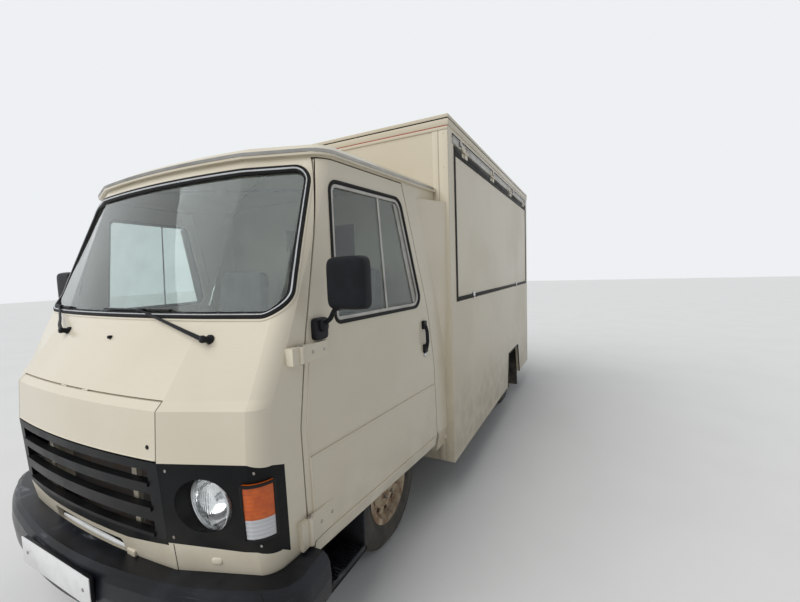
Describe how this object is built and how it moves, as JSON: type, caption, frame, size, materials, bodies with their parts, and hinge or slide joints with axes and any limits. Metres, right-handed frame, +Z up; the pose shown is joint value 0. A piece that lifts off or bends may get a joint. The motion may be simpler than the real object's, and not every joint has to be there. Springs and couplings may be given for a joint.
{
  "type": "ice cream truck",
  "caption": "Forward-control ice cream truck with a cream cab, black wrap-round bumper and a square serving body with a top-hinged side hatch.",
  "frame": {"origin": "on the ground, in the middle of the truck's length and width", "axes": "+Z up, the truck faces -Y, its left side with the serving hatch is +X"},
  "size_m": [2.2, 4.686, 2.452],
  "materials": {
    "cream_paint": "satin",
    "black_plastic": "matte",
    "window_glass": "gloss",
    "headlamp_glass": "gloss",
    "indicator_lens": "gloss",
    "tail_lens": "gloss",
    "tyre_rubber": "matte",
    "flap_rubber": "matte",
    "wheel_paint": "satin",
    "chassis_paint": "satin",
    "bare_steel": "matte",
    "trim_plastic": "matte",
    "floor_paint": "satin",
    "counter_steel": "brushed",
    "seat_cloth": "woven"
  },
  "bodies": {
    "root": {"chassis_frame": "chassis_paint", "rear_axle": "chassis_paint", "fuel_tank": "chassis_paint", "exhaust": "bare_steel", "cab_floor": "floor_paint", "front_panel": "cream_paint", "cab_quarters": "cream_paint", "cab_roof": "cream_paint", "windscreen": "window_glass", "dashboard": "trim_plastic", "seats": "seat_cloth", "engine_block": "bare_steel", "radiator": "bare_steel", "front_bumper": "black_plastic", "grille": "black_plastic", "lamp_panels": "black_plastic", "headlamps": "headlamp_glass", "indicators": "indicator_lens", "wipers": "black_plastic", "steps": "black_plastic", "box_front_wall": "cream_paint", "box_left_wall": "cream_paint", "box_right_wall": "cream_paint", "box_rear_wall": "cream_paint", "box_roof": "cream_paint", "box_floor": "floor_paint", "serving_counter": "counter_steel", "tail_lamps": "tail_lens", "mudflaps": "flap_rubber"},
    "steering_wheel": {"steering_wheel": "trim_plastic"},
    "cab_door_left": {"door_left": "cream_paint", "door_glass_left": "window_glass", "door_fittings_left": "black_plastic"},
    "cab_door_right": {"door_right": "cream_paint", "door_glass_right": "window_glass", "door_fittings_right": "black_plastic"},
    "hatch": {"hatch_flap": "cream_paint"},
    "rear_door": {"rear_door": "cream_paint"},
    "bonnet": {"bonnet": "cream_paint"},
    "knuckle_left": {"knuckle_left": "chassis_paint"},
    "knuckle_right": {"knuckle_right": "chassis_paint"},
    "front_left_wheel": {"wheel_front_left": "wheel_paint", "tyre_front_left": "tyre_rubber"},
    "front_right_wheel": {"wheel_front_right": "wheel_paint", "tyre_front_right": "tyre_rubber"},
    "rear_left_wheel": {"wheel_rear_left": "wheel_paint", "tyre_rear_left": "tyre_rubber"},
    "rear_right_wheel": {"wheel_rear_right": "wheel_paint", "tyre_rear_right": "tyre_rubber"}
  },
  "joints": [
    {"name": "steering_wheel_turn", "type": "hinge", "parent": "root", "child": "steering_wheel", "pos_m": [-0.43, -1.707, 1.19], "axis": [0, 0.788, 0.6157], "range_deg": [-468, 468]},
    {"name": "steer_left", "type": "hinge", "parent": "root", "child": "knuckle_left", "pos_m": [0.62, -1.167, 0.326], "axis": [0, 0, 1], "range_deg": [-26, 26]},
    {"name": "steer_right", "type": "hinge", "parent": "root", "child": "knuckle_right", "pos_m": [-0.62, -1.167, 0.326], "axis": [0, 0, 1], "range_deg": [-26, 26]},
    {"name": "spin_front_left", "type": "hinge", "parent": "knuckle_left", "child": "front_left_wheel", "pos_m": [0.716, -1.167, 0.326], "axis": [1, 0, 0], "continuous": true},
    {"name": "spin_front_right", "type": "hinge", "parent": "knuckle_right", "child": "front_right_wheel", "pos_m": [-0.716, -1.167, 0.326], "axis": [1, 0, 0], "continuous": true},
    {"name": "spin_rear_left", "type": "hinge", "parent": "root", "child": "rear_left_wheel", "pos_m": [0.822, 1.333, 0.326], "axis": [1, 0, 0], "continuous": true},
    {"name": "spin_rear_right", "type": "hinge", "parent": "root", "child": "rear_right_wheel", "pos_m": [-0.822, 1.333, 0.326], "axis": [1, 0, 0], "continuous": true},
    {"name": "door_left_hinge", "type": "hinge", "parent": "root", "child": "cab_door_left", "pos_m": [0.88, -1.92, 0.9], "axis": [0, 0, -1], "range_deg": [0, 70]},
    {"name": "door_right_hinge", "type": "hinge", "parent": "root", "child": "cab_door_right", "pos_m": [-0.88, -1.92, 0.9], "axis": [0, 0, 1], "range_deg": [0, 70]},
    {"name": "hatch_hinge", "type": "hinge", "parent": "root", "child": "hatch", "pos_m": [1.021, 0.808, 2.3], "axis": [0, -1, 0], "range_deg": [0, 90]},
    {"name": "rear_door_hinge", "type": "hinge", "parent": "root", "child": "rear_door", "pos_m": [-0.38, 2.319, 1.47], "axis": [0, 0, 1], "range_deg": [0, 110]},
    {"name": "bonnet_hinge", "type": "hinge", "parent": "root", "child": "bonnet", "pos_m": [0, -2.229, 1.1115], "axis": [-1, 0, 0], "range_deg": [0, 70]}
  ],
  "couplings": [
    {"joint": "steer_left", "follows": "steering_wheel_turn", "ratio": 0.0555},
    {"joint": "steer_right", "follows": "steering_wheel_turn", "ratio": 0.0555}
  ]
}
